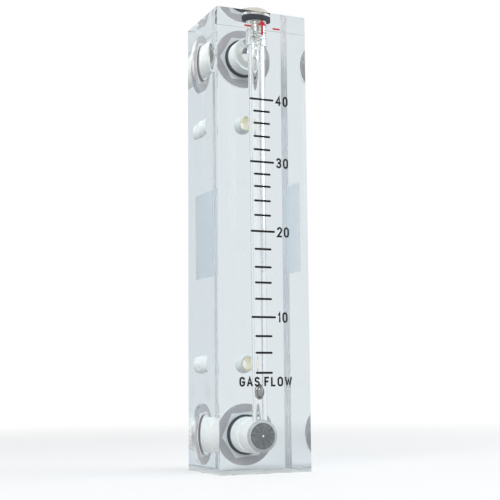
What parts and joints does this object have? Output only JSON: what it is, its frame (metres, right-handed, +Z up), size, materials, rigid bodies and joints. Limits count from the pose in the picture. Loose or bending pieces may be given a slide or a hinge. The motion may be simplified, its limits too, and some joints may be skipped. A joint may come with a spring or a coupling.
{
  "type": "rotameter",
  "caption": "Clear block flow meter with a tapered float bore, ball float, printed scale, hex top plug, rear pipe adapters and threaded rear mounting inserts.",
  "frame": {"origin": "centre of the block's flat bottom face", "axes": "+Z up along the float bore, -Y out of the front face that carries the scale, +Y out of the back face with the pipe adapters, +X to the right as the scale is read"},
  "size_m": [0.0351, 0.0349, 0.1676],
  "materials": {
    "clear_acrylic": "polished clear",
    "plated_fitting": "nickel plated, machined",
    "plug_metal": "machined",
    "float_steel": "polished ball",
    "seal_rubber": "smooth",
    "insert_brass": "machined",
    "scale_ink": "printed ink",
    "label_film": "blank film, satin"
  },
  "bodies": {
    "meter": {"meter_body": "clear_acrylic", "top_plug": "plug_metal", "float_stop_pin": "plug_metal", "top_plug_seal": "seal_rubber", "inlet_adapter": "plated_fitting", "inlet_seal": "seal_rubber", "outlet_adapter": "plated_fitting", "outlet_seal": "seal_rubber", "mounting_insert_lower": "insert_brass", "mounting_insert_upper": "insert_brass", "scale_marks": "scale_ink", "side_label": "label_film"},
    "float": {"float_ball": "float_steel"}
  },
  "joints": [
    {"name": "float_rise", "type": "slide", "parent": "meter", "child": "float", "axis": [0, 0, 1], "range_m": [0, 0.123]}
  ]
}
